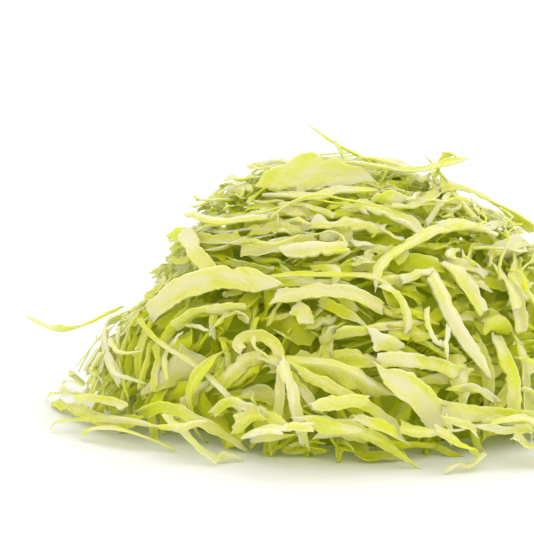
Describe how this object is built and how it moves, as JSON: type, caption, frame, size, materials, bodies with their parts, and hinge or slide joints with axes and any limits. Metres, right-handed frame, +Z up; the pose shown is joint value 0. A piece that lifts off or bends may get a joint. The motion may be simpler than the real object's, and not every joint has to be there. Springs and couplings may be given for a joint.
{
  "type": "shredded lettuce heap",
  "caption": "Loose domed heap of finely shredded pale green lettuce, with curled strips, ribs and stray strands over a packed core, resting on a flat foot.",
  "frame": {"origin": "centre of the heap's flat foot, on the surface it lies on", "axes": "+Z up, +X to the right seen from the front, +Y to the back; the low lump and the stray strand are on the -X side"},
  "size_m": [0.2074, 0.1876, 0.1006],
  "materials": {
    "packed_lettuce": "moist leaf, semi-matte",
    "lettuce_rib": "juicy white rib, satin",
    "lettuce_pale": "moist pale leaf, satin",
    "lettuce_leaf": "moist green leaf, satin",
    "lettuce_heart": "moist yellow heart leaf, satin"
  },
  "bodies": {
    "root": {"back_shred_01": "lettuce_pale", "back_shred_02": "lettuce_rib", "back_shred_03": "lettuce_leaf", "back_shred_04": "lettuce_rib", "back_shred_05": "lettuce_heart", "back_shred_06": "lettuce_pale", "back_shred_07": "lettuce_rib", "back_shred_08": "lettuce_leaf", "back_shred_09": "lettuce_rib", "back_shred_10": "lettuce_heart", "back_shred_11": "lettuce_pale", "back_shred_12": "lettuce_rib", "back_shred_13": "lettuce_leaf", "back_shred_14": "lettuce_rib", "big_diagonal": "lettuce_rib", "big_leaf": "lettuce_heart", "central_band": "lettuce_rib", "club_strand": "lettuce_rib", "crumpled_strip": "lettuce_pale", "curl_strand": "lettuce_pale", "diagonal_bar": "lettuce_pale", "diagonal_thread": "lettuce_pale", "edge_strip": "lettuce_pale", "finger": "lettuce_pale", "fork_strip": "lettuce_rib", "green_blade": "lettuce_leaf", "green_shoulder": "lettuce_leaf", "green_tongue": "lettuce_leaf", "hook_strip": "lettuce_pale", "knob_strip": "lettuce_pale", "long_arm": "lettuce_rib", "long_diagonal": "lettuce_rib", "long_green": "lettuce_leaf", "long_white": "lettuce_rib", "low_strap": "lettuce_leaf", "lower_ramp": "lettuce_pale", "lower_slab": "lettuce_pale", "packed_shreds": "packed_lettuce", "pale_shoulder": "lettuce_pale", "pale_slab": "lettuce_pale", "plank": "lettuce_rib", "rib_end": "lettuce_rib", "right_arc": "lettuce_heart", "right_band": "lettuce_pale", "rolled_leaf": "lettuce_pale", "square_block": "lettuce_rib", "step_strip": "lettuce_rib", "stray_strand": "lettuce_leaf", "sweeping_strip": "lettuce_pale", "table_leaf": "lettuce_leaf", "table_strip": "lettuce_pale", "tall_leaf": "lettuce_pale", "top_flat": "lettuce_rib", "upper_prong": "lettuce_rib", "upright_block": "lettuce_rib", "upright_sliver": "lettuce_pale", "upright_strip": "lettuce_pale", "wave_strip": "lettuce_rib", "white_stick": "lettuce_rib", "wide_band": "lettuce_rib"}
  },
  "joints": []
}
